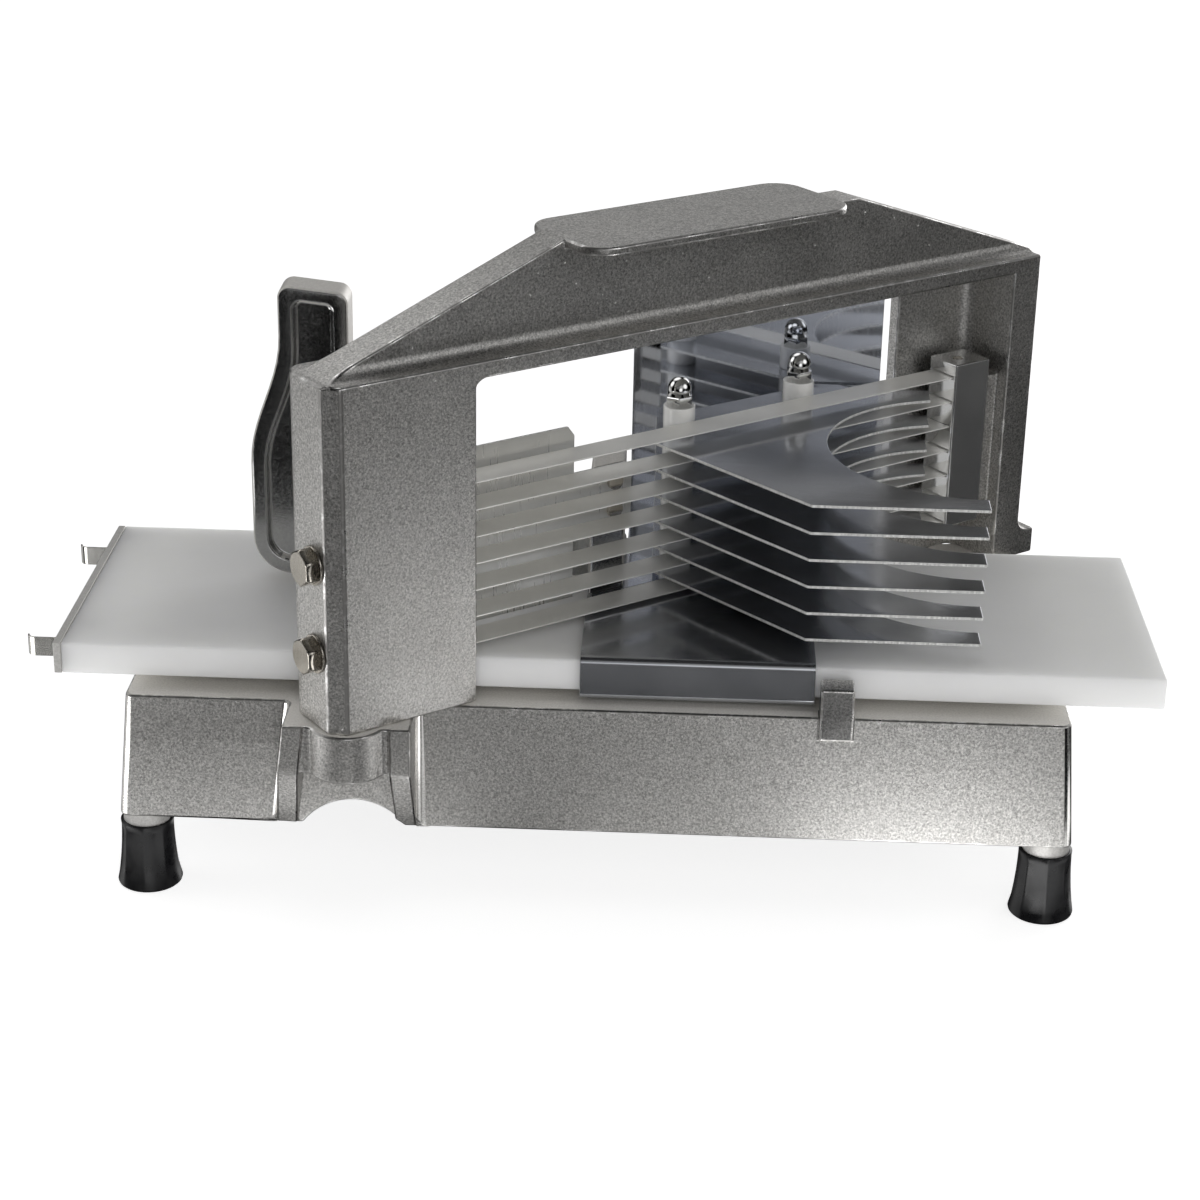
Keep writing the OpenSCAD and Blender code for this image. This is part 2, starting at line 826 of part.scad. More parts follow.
// Plan of a pusher plate with its round mouth
module plate_plan() {
  difference() {
    polygon([[nose_x, nose_front], [nose_x, nose_rear], [kink_x, plate_half], [rear_tip_x, plate_half],
             [rear_tip_x, 0], [tip_x, 0], [tip_x, -plate_half], [kink_x, -plate_half]]);
    translate([tip_x, 0]) circle(mouth_radius, $fn = 96);
  }
}

// One pusher plate, counted from the board upwards
module plate(i) {
  z = plate_low + (i - 1) * blade_pitch;
  color([0.8, 0.81, 0.84]) placed() difference() {
    translate([0, 0, z - plate_thick / 2]) linear_extrude(plate_thick) plate_plan();
    at_rods() translate([0, 0, z - 3]) cylinder(r = rod_radius + hole_gap, h = 6);
  }
}

module plate_1() {
  plate(1);
}

module plate_2() {
  plate(2);
}

module plate_3() {
  plate(3);
}

module plate_4() {
  plate(4);
}

module plate_5() {
  plate(5);
}

module plate_6() {
  plate(6);
}

module tie_rods() {
  color([0.8, 0.8, 0.8]) placed() at_rods()
    translate([0, 0, saddle_top]) cylinder(r = rod_radius, h = rod_top - saddle_top);
}

// White sleeves under, between and above the plates
module spacers() {
  gap = blade_pitch - plate_thick;
  low = saddle_top + flange_thick;
  color([0.92, 0.91, 0.88]) placed() at_rods() {
    translate([0, 0, low]) difference() {
      cylinder(r = spacer_radius, h = plate_low - plate_thick / 2 - low);
      translate([0, 0, -1]) cylinder(r = spacer_bore, h = blade_pitch + 2);
    }
    for (i = [1 : plate_count])
      translate([0, 0, plate_low + (i - 1) * blade_pitch + plate_thick / 2]) difference() {
        cylinder(r = spacer_radius, h = gap);
        translate([0, 0, -1]) cylinder(r = spacer_bore, h = gap + 2);
      }
  }
}

// Domed nuts on top of the rods
module acorn_nuts() {
  color([0.85, 0.85, 0.85]) placed() at_rods() translate([0, 0, nut_seat]) difference() {
    union() {
      hex(nut_flat, nut_hex);
      translate([0, 0, nut_hex]) cylinder(r = nut_dome, h = nut_neck);
      translate([0, 0, nut_hex + nut_neck]) sphere(nut_dome);
    }
    translate([0, 0, -1]) cylinder(r = rod_radius + hole_gap, h = 1 + rod_bite + free_gap);
    translate([0, 0, -nut_flat]) cylinder(r = nut_flat, h = nut_flat);
  }
}

// Side view of the grip, drawn in by the given margin: straight at the top, bowed out below
module grip_side(m, r) {
  steps = 10;
  low = board_top + grip_low + m;
  round = grip_round - m;
  bend = low + round;
  high = board_top + grip_height - m;
  left = grip_right - grip_width + m;
  right = grip_right - m;
  heel = left - grip_bow + round;
  lean = atan(grip_lean / grip_width);
  fall = tan(lean);
  corner_z = high - r * (fall + 1 / cos(lean));
  right_z = corner_z - (right - left - 2 * r) * fall;
  bow = [for (i = [0 : steps]) [grip_bow * (0.5 + 0.5 * cos(180 * i / steps)), 0.3 + 0.5 * i / steps]];
  left_edge = [for (i = [steps : -1 : 0]) [left - bow[i][0], bend + (high - bend) * bow[i][1]]];
  heel_arc = [for (a = [0 : 10 : 90]) [heel - round * cos(a), bend - round * sin(a)]];
  right_edge = [for (b = bow) [right - b[0], bend + (right_z - bend) * b[1]]];
  turn = (90 - lean) / steps;
  right_corner = [for (i = [0 : steps]) [right - r + r * cos(i * turn), right_z + r * sin(i * turn)]];
  left_turn = (90 + lean) / steps;
  left_corner = [for (i = [steps : -1 : 0])
    [left + r - r * cos(i * left_turn), corner_z + r * sin(i * left_turn)]];
  polygon(concat(left_corner, left_edge, heel_arc, [[right - grip_bow, low]], right_edge, right_corner));
}

module handle() {
  color([0.4, 0.4, 0.42]) placed() difference() {
    union() {
      difference() {
        translate([0, grip_thick / 2, 0]) rotate([90, 0, 0]) linear_extrude(grip_thick)
          grip_side(0, grip_corner);
        translate([0, -grip_thick / 2 + grip_recess, 0]) rotate([90, 0, 0])
          linear_extrude(grip_recess + 1) grip_side(grip_rim, recess_corner);
      }
      translate([grip_right - grip_bow - 2, -arm_thick / 2, arm_z[0]])
        cube([post_x[0] - grip_right + grip_bow + 4, arm_thick, arm_z[1] - arm_z[0]]);
      intersection() {
        translate([post_x[0], -30, saddle_top])
          cube([post_x[1] - post_x[0], 30 + post_rear, tab_z[1] - saddle_top]);
        on_frame() translate([0, guard_t + guard_thick, 0]) cube([400, 100, 400]);
      }
      translate([post_x[0], 0, saddle_top]) cube([post_x[1] - post_x[0], stud_foot_rear, stud_foot_thick]);
    }
    for (y = stud_y)
      translate([(post_x[0] + post_x[1]) / 2, y, saddle_top - 1])
        cylinder(r = stud_radius + free_gap, h = stud_foot_thick + 2);
    on_frame() for (z = guard_screw_z)
      translate([guard_screw_u, guard_t, z]) rotate([-90, 0, 0])
        cylinder(r = guard_screw_radius, h = guard_thick + guard_screw_bite + 1);
  }
}

// Studs on the saddle that pass up through the foot of the handle
module handle_studs() {
  color([0.75, 0.75, 0.76]) placed() for (y = stud_y)
    translate([(post_x[0] + post_x[1]) / 2, y, saddle_top - saddle_sheet])
      cylinder(r = stud_radius - hole_gap, h = saddle_sheet + stud_foot_thick + stud_nut_height + 2);
}

module handle_nuts() {
  color([0.75, 0.75, 0.76]) placed() for (y = stud_y)
    translate([(post_x[0] + post_x[1]) / 2, y, saddle_top + stud_foot_thick]) difference() {
      hex(stud_nut_flat, stud_nut_height);
      translate([0, 0, -1]) cylinder(r = stud_radius, h = stud_nut_height + 2);
    }
}

// Polished sheet between the hand and the blades, with a tab to the handle post
module hand_guard() {
  low = saddle_top + guard_lift;
  color([0.83, 0.83, 0.84]) placed() on_frame() difference() {
    translate([0, guard_t + guard_thick, 0]) rotate([90, 0, 0]) linear_extrude(guard_thick) {
      polygon([[guard_u[0], low], [guard_u[1], low], [guard_u[1], board_top + guard_height - 4],
               [guard_u[1] - 3, board_top + guard_height], [guard_u[0], board_top + guard_height]]);
      translate([guard_u[1] - 5, tab_z[0]]) square([tab_end - guard_u[1] - 1, tab_z[1] - tab_z[0]]);
      translate([tab_end - 12, tab_z[0]]) round_rect([12, tab_z[1] - tab_z[0]], 4);
    }
    for (z = guard_screw_z)
      translate([guard_screw_u, guard_t - 1, z]) rotate([-90, 0, 0]) cylinder(r = guard_screw_radius, h = 4);
  }
}

// Low screws that hold the guard on the handle post
module guard_screws() {
  color([0.75, 0.75, 0.76]) placed() on_frame() for (z = guard_screw_z)
    translate([guard_screw_u, guard_t, z]) rotate([-90, 0, 0]) {
      cylinder(r = guard_screw_radius - hole_gap, h = guard_thick + guard_screw_bite);
      translate([0, 0, -guard_head_height]) cylinder(r = guard_head, h = guard_head_height);
    }
}

base_casting();
foot_front_left();
foot_front_right();
foot_rear_left();
foot_rear_right();
foot_studs();
slide_board();
board_screws();
end_bar();
end_clip_front();
end_clip_rear();
clip_screws();
blade_frame();
frame_bolts();
tension_bolts();
anchor_bolts();
holder_left();
holder_right();
blade_pins();
blade_1();
blade_2();
blade_3();
blade_4();
blade_5();
blade_6();
blade_7();
saddle();
back_plate();
plate_1();
plate_2();
plate_3();
plate_4();
plate_5();
plate_6();
tie_rods();
spacers();
acorn_nuts();
handle();
handle_studs();
handle_nuts();
hand_guard();
guard_screws();
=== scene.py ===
import json
from math import atan2, cos, pi, radians, sin

import bmesh
import bpy
from mathutils import Matrix, Vector
from mathutils.bvhtree import BVHTree


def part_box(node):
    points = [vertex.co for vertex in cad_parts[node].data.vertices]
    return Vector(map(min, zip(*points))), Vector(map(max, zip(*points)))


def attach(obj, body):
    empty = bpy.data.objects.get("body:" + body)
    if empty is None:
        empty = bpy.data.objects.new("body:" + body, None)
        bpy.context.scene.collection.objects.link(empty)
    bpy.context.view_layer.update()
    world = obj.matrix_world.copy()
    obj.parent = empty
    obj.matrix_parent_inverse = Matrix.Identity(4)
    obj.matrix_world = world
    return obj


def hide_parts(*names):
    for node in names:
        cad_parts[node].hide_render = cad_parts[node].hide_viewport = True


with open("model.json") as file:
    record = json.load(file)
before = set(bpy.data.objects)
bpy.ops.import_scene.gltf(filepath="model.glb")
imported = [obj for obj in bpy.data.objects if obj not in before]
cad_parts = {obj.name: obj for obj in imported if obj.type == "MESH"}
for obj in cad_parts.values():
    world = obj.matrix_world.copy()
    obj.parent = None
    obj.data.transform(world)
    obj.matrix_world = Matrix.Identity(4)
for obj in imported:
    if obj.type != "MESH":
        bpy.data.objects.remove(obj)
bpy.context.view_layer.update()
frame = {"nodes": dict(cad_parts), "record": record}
nodes = frame["nodes"]
bodyOf = {name: body for body, names in frame["record"]["behaviour"]["bodies"].items() for name in names}
mm = 0.001
bridgeTurn = radians(37)  # how far the bridge stands across the board
print("frame loaded:", len(nodes), "nodes")

# camera: the photograph's viewing angle
cameraSetup = {
    "place": (33.4 * mm, -1000.99 * mm, 522.08 * mm),
    "yaw": -1.850,  # degrees, to the right of straight ahead
    "pitch": 23.108,  # degrees, downwards
    "roll": 1.127,  # degrees
    "sensor": 36.0,
    "focalPixels": 2634.5,
    "imagePixels": 1200,
}


def makeCamera(setup):
    yaw, pitch, roll = (radians(setup[k]) for k in ("yaw", "pitch", "roll"))
    ahead = Vector((sin(yaw) * cos(pitch), cos(yaw) * cos(pitch), -sin(pitch)))
    levelRight = Vector((cos(yaw), -sin(yaw), 0))
    levelUp = levelRight.cross(ahead)
    right = cos(roll) * levelRight + sin(roll) * levelUp
    up = -sin(roll) * levelRight + cos(roll) * levelUp
    lens = bpy.data.cameras.new("photoCamera")
    lens.sensor_width = setup["sensor"]
    lens.lens = setup["sensor"] * setup["focalPixels"] / setup["imagePixels"]
    camera = bpy.data.objects.new("photoCamera", lens)
    place = Matrix((right, up, -ahead)).transposed().to_4x4()
    place.translation = Vector(setup["place"])
    camera.matrix_world = place
    bpy.context.scene.collection.objects.link(camera)
    bpy.context.scene.camera = camera


makeCamera(cameraSetup)


# material helpers
def newFinish(name):
    finish = bpy.data.materials.new(name)
    finish.use_nodes = True
    tree = finish.node_tree
    return finish, tree, tree.nodes["Principled BSDF"]


def objectCoords(tree, stretch=(1, 1, 1), turn=0):
    coords = tree.nodes.new("ShaderNodeTexCoord")
    mapping = tree.nodes.new("ShaderNodeMapping")
    mapping.inputs["Scale"].default_value = stretch
    mapping.inputs["Rotation"].default_value = (0, 0, turn)
    tree.links.new(coords.outputs["Object"], mapping.inputs["Vector"])
    return mapping.outputs["Vector"]


def noise(tree, vector, scale, detail=3, roughness=0.55):
    texture = tree.nodes.new("ShaderNodeTexNoise")
    texture.inputs["Scale"].default_value = scale
    texture.inputs["Detail"].default_value = detail
    texture.inputs["Roughness"].default_value = roughness
    tree.links.new(vector, texture.inputs["Vector"])
    return texture.outputs["Fac"]


def spread(tree, value, low, high, fromLow=0.3, fromHigh=0.7):
    node = tree.nodes.new("ShaderNodeMapRange")
    for socket, number in (("From Min", fromLow), ("From Max", fromHigh), ("To Min", low), ("To Max", high)):
        node.inputs[socket].default_value = number
    tree.links.new(value, node.inputs["Value"])
    return node.outputs["Result"]


def colourBetween(tree, value, first, second):
    node = tree.nodes.new("ShaderNodeMix")
    node.data_type = "RGBA"
    tree.links.new(value, node.inputs["Factor"])
    node.inputs["A"].default_value = (*first, 1)
    node.inputs["B"].default_value = (*second, 1)
    return node.outputs["Result"]


def together(tree, first, second, how="MULTIPLY"):
    node = tree.nodes.new("ShaderNodeMath")
    node.operation = how
    tree.links.new(first, node.inputs[0])
    tree.links.new(second, node.inputs[1])
    return node.outputs["Value"]


def bump(tree, surface, height, strength, distance, below=None):
    node = tree.nodes.new("ShaderNodeBump")
    node.inputs["Strength"].default_value = strength
    node.inputs["Distance"].default_value = distance
    tree.links.new(height, node.inputs["Height"])
    if below is not None:
        tree.links.new(below, node.inputs["Normal"])
    tree.links.new(node.outputs["Normal"], surface.inputs["Normal"])
    return node.outputs["Normal"]


castGrain = {
    "fine": 2300,  # noise scales, a larger one is finer
    "speck": 1100,
    "slow": 25,
    "glint": 620,
    "coarseShare": 0.4,  # strength of the coarse bumps beside the fine ones
}


def castFinish(name, dark, light, roughLow, roughHigh, grain, metal=1.0, sparkle=0.0):
    finish, tree, surface = newFinish(name)
    place = objectCoords(tree)
    fine = noise(tree, place, castGrain["fine"], 2, 0.7)
    speck = noise(tree, place, castGrain["speck"], 2)
    slow = noise(tree, place, castGrain["slow"], 2)
    salted = spread(tree, together(tree, fine, speck, "ADD"), 0, 1, 0.74, 1.26)
    tree.links.new(colourBetween(tree, salted, dark, light), surface.inputs["Base Color"])
    tree.links.new(spread(tree, together(tree, speck, slow, "ADD"), roughLow, roughHigh, 0.75, 1.25),
                   surface.inputs["Roughness"])
    surface.inputs["Metallic"].default_value = metal
    if sparkle:  # tiny bright facets here and there
        glint = noise(tree, objectCoords(tree, (1, 1, 1), 0.6), castGrain["glint"], 1)
        tree.links.new(spread(tree, glint, metal, metal - sparkle, 0.74, 0.78), surface.inputs["Metallic"])
    coarse = bump(tree, surface, speck, castGrain["coarseShare"] * grain, 0.0005)
    bump(tree, surface, fine, grain, 0.0003, coarse)
    return finish


def wornAndHighlightFinish(name, dark, light, roughLow, roughHigh):  # cast edge, worn bright in places: partly real wear, partly a painted highlight
    finish, tree, surface = newFinish(name)
    place = objectCoords(tree)
    wearAndHighlight = spread(tree, noise(tree, place, 130, 4, 0.65), 0, 1, 0.48, 0.62)
    fine = noise(tree, place, 1500, 2)
    tree.links.new(colourBetween(tree, wearAndHighlight, dark, light), surface.inputs["Base Color"])
    tree.links.new(spread(tree, wearAndHighlight, roughHigh, roughLow, 0, 1), surface.inputs["Roughness"])
    surface.inputs["Metallic"].default_value = 1
    bump(tree, surface, fine, 0.2, 0.0003)
    return finish


sheetGrain = {
    "drawn": 900,  # noise scale of the drawn lines
    "smudge": 28,
}


def polishedFinish(name, dark, light, roughLow, roughHigh, stretch, turn=0, lines=0.02, metal=1.0):
    finish, tree, surface = newFinish(name)
    drawn = noise(tree, objectCoords(tree, stretch, turn), sheetGrain["drawn"], 3)
    smudge = noise(tree, objectCoords(tree), sheetGrain["smudge"], 4)
    tree.links.new(colourBetween(tree, spread(tree, smudge, 0, 1), dark, light), surface.inputs["Base Color"])
    tree.links.new(spread(tree, together(tree, drawn, smudge, "ADD"), roughLow, roughHigh, 0.75, 1.25),
                   surface.inputs["Roughness"])
    surface.inputs["Metallic"].default_value = metal
    bump(tree, surface, drawn, lines, 0.0002)
    return finish


def boardFinish():
    finish, tree, surface = newFinish("whiteBoard")
    place = objectCoords(tree)
    cloud = noise(tree, place, 9, 4)
    cuts = noise(tree, objectCoords(tree, (0.05, 1, 1), radians(7)), 700, 2)
    fine = noise(tree, place, 1200, 2)
    tree.links.new(colourBetween(tree, spread(tree, cloud, 0, 1), (0.83, 0.83, 0.82), (0.9, 0.9, 0.89)),
                   surface.inputs["Base Color"])
    tree.links.new(spread(tree, cuts, 0.32, 0.5), surface.inputs["Roughness"])
    surface.inputs["Subsurface Weight"].default_value = 0.9
    surface.inputs["Subsurface Radius"].default_value = (1, 1, 0.95)
    surface.inputs["Subsurface Scale"].default_value = 0.018
    first = bump(tree, surface, cuts, 0.05, 0.0003)
    bump(tree, surface, fine, 0.04, 0.0002, first)
    return finish


def rubberFinish():
    finish, tree, surface = newFinish("blackRubber")
    place = objectCoords(tree)
    dust = noise(tree, place, 160, 4)
    black = colourBetween(tree, spread(tree, dust, 0, 1), (0.006, 0.006, 0.007), (0.016, 0.016, 0.017))
    tree.links.new(black, surface.inputs["Base Color"])
    tree.links.new(spread(tree, dust, 0.22, 0.4), surface.inputs["Roughness"])
    bump(tree, surface, noise(tree, place, 900, 2), 0.05, 0.0002)
    return finish


def sleeveFinish():
    finish, tree, surface = newFinish("whiteSleeve")
    cloud = noise(tree, objectCoords(tree), 220, 3)
    tree.links.new(colourBetween(tree, spread(tree, cloud, 0, 1), (0.93, 0.92, 0.88), (0.98, 0.975, 0.95)),
                   surface.inputs["Base Color"])
    tree.links.new(spread(tree, cloud, 0.1, 0.2), surface.inputs["Roughness"])
    surface.inputs["Coat Weight"].default_value = 0.5
    surface.inputs["Coat Roughness"].default_value = 0.05
    surface.inputs["Subsurface Weight"].default_value = 0.2
    surface.inputs["Subsurface Radius"].default_value = (1, 1, 1)
    surface.inputs["Subsurface Scale"].default_value = 0.002
    return finish


def cutEdgeFinish():
    finish, tree, surface = newFinish("cutSheetEdge")
    grain = noise(tree, objectCoords(tree, (1, 1, 0.25)), 1300, 2)
    tree.links.new(colourBetween(tree, spread(tree, grain, 0, 1), (0.5, 0.5, 0.49), (0.85, 0.85, 0.83)),
                   surface.inputs["Base Color"])
    tree.links.new(spread(tree, grain, 0.3, 0.5), surface.inputs["Roughness"])
    surface.inputs["Metallic"].default_value = 0.35
    bump(tree, surface, grain, 0.1, 0.0002)
    return finish


castMetal = castFinish("castMetal", (0.31, 0.304, 0.292), (0.9, 0.885, 0.86), 0.36, 0.5, 0.3, 1.0, 0.7)
# edge finish lighter than the casting: real wear plus a painted highlight
rubbedEdgeAndHighlight = wornAndHighlightFinish("rubbedEdgeAndHighlight", (0.5, 0.49, 0.475), (0.94, 0.93, 0.91), 0.26, 0.42)
# lighter, smoother finish for the base's upright corner roundings: a painted highlight
cornerPaintedHighlight = castFinish("cornerPaintedHighlight", (0.78, 0.765, 0.74), (0.92, 0.91, 0.885), 0.12, 0.2, 0.04)
# the base's top deck, painted far lighter and almost matte: painted light against the board's shade
deckPaintedLight = castFinish("deckPaintedLight", (0.8, 0.775, 0.73), (0.95, 0.925, 0.875), 0.4, 0.55, 0.15, 0.05)
# dark finish for the sides of the stop: painted shade
stopPaintedShade = castFinish("stopPaintedShade", (0.14, 0.14, 0.14), (0.36, 0.355, 0.345), 0.28, 0.42, 0.2)
# raw-cast handle sides, painted lighter as painted light
handleSidePaintedLight = castFinish("handleSidePaintedLight", (0.6, 0.58, 0.55), (0.76, 0.74, 0.705), 0.42, 0.55, 0.12, 0.35)
# polished handle front and hollow, painted darker as painted shade
polishedCastPaintedShade = castFinish("polishedCastPaintedShade", (0.4, 0.4, 0.4), (0.54, 0.54, 0.53), 0.16, 0.26, 0.06)
polishedSheet = polishedFinish("polishedSheet", (0.52, 0.535, 0.57), (0.64, 0.655, 0.69), 0.12, 0.2,
                               (0.04, 1, 1), metal=0.94)
guardSheet = polishedFinish("guardSheet", (0.58, 0.575, 0.55), (0.69, 0.685, 0.655), 0.26, 0.36,
                            (1, 1, 0.04), metal=0.7)
mirrorSheet = polishedFinish("mirrorSheet", (0.7, 0.73, 0.8), (0.8, 0.82, 0.88), 0.03, 0.08, (1, 1, 0.05))
bladeSteel = polishedFinish("bladeSteel", (0.8, 0.79, 0.755), (0.93, 0.92, 0.885), 0.3, 0.42, (0.05, 1, 1),
                            bridgeTurn, metal=0.4)
holderSteel = polishedFinish("holderSteel", (0.6, 0.6, 0.6), (0.78, 0.78, 0.77), 0.07, 0.15,
                             (1, 1, 0.05), metal=0.95)
brightNut = polishedFinish("brightNut", (0.78, 0.78, 0.77), (0.88, 0.88, 0.87), 0.04, 0.09, (1, 1, 0.1))
boltSteel = polishedFinish("boltSteel", (0.48, 0.45, 0.4), (0.66, 0.62, 0.55), 0.18, 0.3,
                           (1, 1, 0.3), 0, 0.06)
springStrip = polishedFinish("springStrip", (0.62, 0.61, 0.58), (0.78, 0.77, 0.73), 0.14, 0.24, (1, 1, 0.1))
barMetal = castFinish("barMetal", (0.52, 0.51, 0.49), (0.7, 0.69, 0.67), 0.4, 0.52, 0.12, 0.6)
whiteBoard = boardFinish()
blackRubber = rubberFinish()
whiteSleeve = sleeveFinish()
cutSheetEdge = cutEdgeFinish()
print("finishes made")


# pieces
meshTidy = {
    "weld": 2e-6,
    "flat": radians(0.6),  # faces turned less than this become one
    "sliver": 0.1 * mm,
    "sharp": radians(28),  # edges turned more than this are rounded
}


def addPiece(work, pieceName, node, finishes):
    mesh = bpy.data.meshes.new(pieceName)
    bmesh.ops.recalc_face_normals(work, faces=work.faces)
    for face in work.faces:
        face.smooth = True
    work.to_mesh(mesh)
    work.free()
    for finish in finishes:
        mesh.materials.append(finish)
    piece = bpy.data.objects.new(pieceName, mesh)
    bpy.context.scene.collection.objects.link(piece)
    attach(piece, bodyOf[node])
    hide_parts(node)
    even = piece.modifiers.new("evenShading", "WEIGHTED_NORMAL")
    even.weight = 100
    even.keep_sharp = True
    return piece


def mergedCopy(node):
    work = bmesh.new()
    work.from_mesh(nodes[node].data)
    for face in work.faces:
        face.material_index = 0
    bmesh.ops.remove_doubles(work, verts=work.verts, dist=meshTidy["weld"])
    bmesh.ops.dissolve_limit(work, angle_limit=meshTidy["flat"], verts=work.verts, edges=work.edges)
    bmesh.ops.dissolve_degenerate(work, edges=work.edges, dist=meshTidy["sliver"])
    return work


def solidsOf(node):  # corner points of each separate solid of a node
    work = mergedCopy(node)
    left = set(work.verts)
    solids = []
    while left:
        reach = [left.pop()]
        points = []
        while reach:
            vert = reach.pop()
            points.append(vert.co.copy())
            for edge in vert.link_edges:
                other = edge.other_vert(vert)
                if other in left:
                    left.remove(other)
                    reach.append(other)
        low, high = (Vector([pick(p[i] for p in points) for i in range(3)]) for pick in (min, max))
        solids.append((low, high))
    work.free()
    return sorted(solids, key=lambda box: tuple(box[0]))


def softened(node, pieceName, finishes, width, segments=3, paint=None, wornAndHighlit=False):
    work = mergedCopy(node)
    surface = BVHTree.FromBMesh(work)
    if paint is not None:
        for face in work.faces:
            face.material_index = int(paint(face, surface))
    bmesh.ops.connect_verts_concave(work, faces=work.faces)
    edges = [e for e in work.edges if len(e.link_faces) == 2 and e.calc_face_angle(0) > meshTidy["sharp"]]
    made = bmesh.ops.bevel(work, geom=edges, offset=width, affect="EDGES", segments=segments, profile=0.5,
                           material=-1, clamp_overlap=False, loop_slide=False)
    room = list(zip(*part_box(node)))
    for vert in work.verts:  # points thrown out by very narrow faces go back to the surface
        near, normal, index, gap = surface.find_nearest(vert.co)
        if gap > 0.5 * width:
            vert.co = near
        vert.co = [min(max(value, least), most) for value, (least, most) in zip(vert.co, room)]
    if wornAndHighlit:  # outer edges get the second finish, worn metal with a painted highlight
        for face in made["faces"]:
            middle = face.calc_center_median()
            near, normal, index, gap = surface.find_nearest(middle)
            if (middle - near).dot(normal) < 0:
                face.material_index = wornEdgeHighlight
    return addPiece(work, pieceName, node, finishes)


softEdges = {
    "bridge": 1.0 * mm,
    "base": 0.9 * mm,
    "handle": 1.4 * mm,
    "board": 0.9 * mm,
    "bar": 0.3 * mm,
    "sheet": 0.2 * mm,
    "holder": 0.7 * mm,
    "clip": 0.15 * mm,
}

castGrey, wornEdgeHighlight, deckTopPaintedLight, stopSidePaintedShade, roundCornerHighlight = range(5)  # places in the base's list of finishes
softened("blade_frame", "castBridge", [castMetal, rubbedEdgeAndHighlight], softEdges["bridge"], wornAndHighlit=True)

baseZones = {
    "deckBelowBoard": 8 * mm,
    "stopFrom": 1.5 * mm,  # the stop stands close to the right end of the saddle
    "stopTo": 15.5 * mm,
    "stopBefore": -60 * mm,
    "stopAbove": 60 * mm,
    "stopFace": 0.0005,  # largest face of the stop, in square metres
    "cornerTurn": 0.12,  # how far a rounding turns away from both walls
    "cornerHeight": 25 * mm,
}
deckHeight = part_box("slide_board")[0][2] - baseZones["deckBelowBoard"]


def basePaint(face, solid):
    middle = face.calc_center_median()
    beside = middle.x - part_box("saddle")[1][0]
    atStop = baseZones["stopFrom"] < beside < baseZones["stopTo"] and middle.y < baseZones["stopBefore"]
    if atStop and middle.z > baseZones["stopAbove"] and face.calc_area() < baseZones["stopFace"]:
        # the stop's sides take the dark painted shade, its top stays plain cast
        return castGrey if face.normal.z > 0.7 else stopSidePaintedShade
    heights = [vert.co.z for vert in face.verts]
    tall = max(heights) - min(heights) > baseZones["cornerHeight"]
    turned = min(abs(face.normal.x), abs(face.normal.y)) > baseZones["cornerTurn"]
    if turned and tall and abs(face.normal.z) < 0.3 and middle.z < deckHeight:
        return roundCornerHighlight  # upright roundings between the walls, painted lighter and smoother as a painted highlight
    # upward faces of the top deck take the painted light
    return deckTopPaintedLight if face.normal.z > 0.9 and middle.z > deckHeight else castGrey


handleHollow = 22 * mm  # widest hollow of the handle


def outerWallPaintedLight(face, solid):  # the outside wall of the handle, not the walls of its hollow: a raw-cast side, also painted lighter as painted light
    if abs(face.normal.y) > 0.5:
        return False
    start = face.calc_center_median() + face.normal * 0.1 * mm
    near, normal, index, gap = solid.ray_cast(start, face.normal, handleHollow)
    return near is None


softened("base_casting", "castBase", [castMetal, rubbedEdgeAndHighlight, deckPaintedLight, stopPaintedShade, cornerPaintedHighlight],
         softEdges["base"], wornAndHighlit=True, paint=basePaint)
softened("handle", "pusherHandle", [polishedCastPaintedShade, handleSidePaintedLight], softEdges["handle"], paint=outerWallPaintedLight)
softened("slide_board", "slideBoard", [whiteBoard], softEdges["board"])
softened("end_bar", "endBar", [barMetal], softEdges["bar"])
for node, name in (("end_clip_front", "endClipFront"), ("end_clip_rear", "endClipRear")):
    softened(node, name, [springStrip], softEdges["clip"], 2)
cutFace = 0.0002  # largest face of a sheet's cut edge, in square metres
softened("saddle", "saddleSheet", [polishedSheet, cutSheetEdge], softEdges["sheet"], 2,
         paint=lambda face, solid: abs(face.normal.x) > 0.9)
softened("back_plate", "backPlate", [mirrorSheet, cutSheetEdge], softEdges["sheet"], 2,
         paint=lambda face, solid: face.calc_area() < cutFace)
softened("hand_guard", "handGuard", [guardSheet, cutSheetEdge], softEdges["sheet"], 2,
         paint=lambda face, solid: face.calc_area() < cutFace)
for i in range(1, 7):
    softened(f"plate_{i}", f"pusherPlate{i}", [polishedSheet, cutSheetEdge], softEdges["sheet"], 2,
             paint=lambda face, solid: abs(face.normal.z) < 0.5)
for node, name in (("holder_left", "holderLeft"), ("holder_right", "holderRight")):
    softened(node, name, [holderSteel], softEdges["holder"], 3)
softened("spacers", "plateSpacers", [whiteSleeve], softEdges["bar"], 2)
print("castings, board and sheets softened")


hexBolt = {
    "acrossFlats": 13 * mm,
    "head": 5.3 * mm,
    "cornerCut": 0.92,  # where the turned chamfer starts, as a share of the half width
    "cornerFall": 0.58,  # how steeply it falls
    "reach": 9 * mm,  # points nearer the axis than this belong to the bolt
    "shank": 3.95 * mm,
    "washer": 7.6 * mm,
    "washerThick": 1.2 * mm,
}
alongBridge = Vector((cos(bridgeTurn), sin(bridgeTurn), 0))


def skin(work, rings):  # closed skin over rings of points, with a flat cap at either end
    rows = [[work.verts.new(point) for point in ring] for ring in rings]
    count = len(rows[0])
    for near, far in zip(rows, rows[1:]):
        for k in range(count):
            work.faces.new((near[k], near[(k + 1) % count], far[(k + 1) % count], far[k]))
    work.faces.new(rows[0])
    work.faces.new(rows[-1])


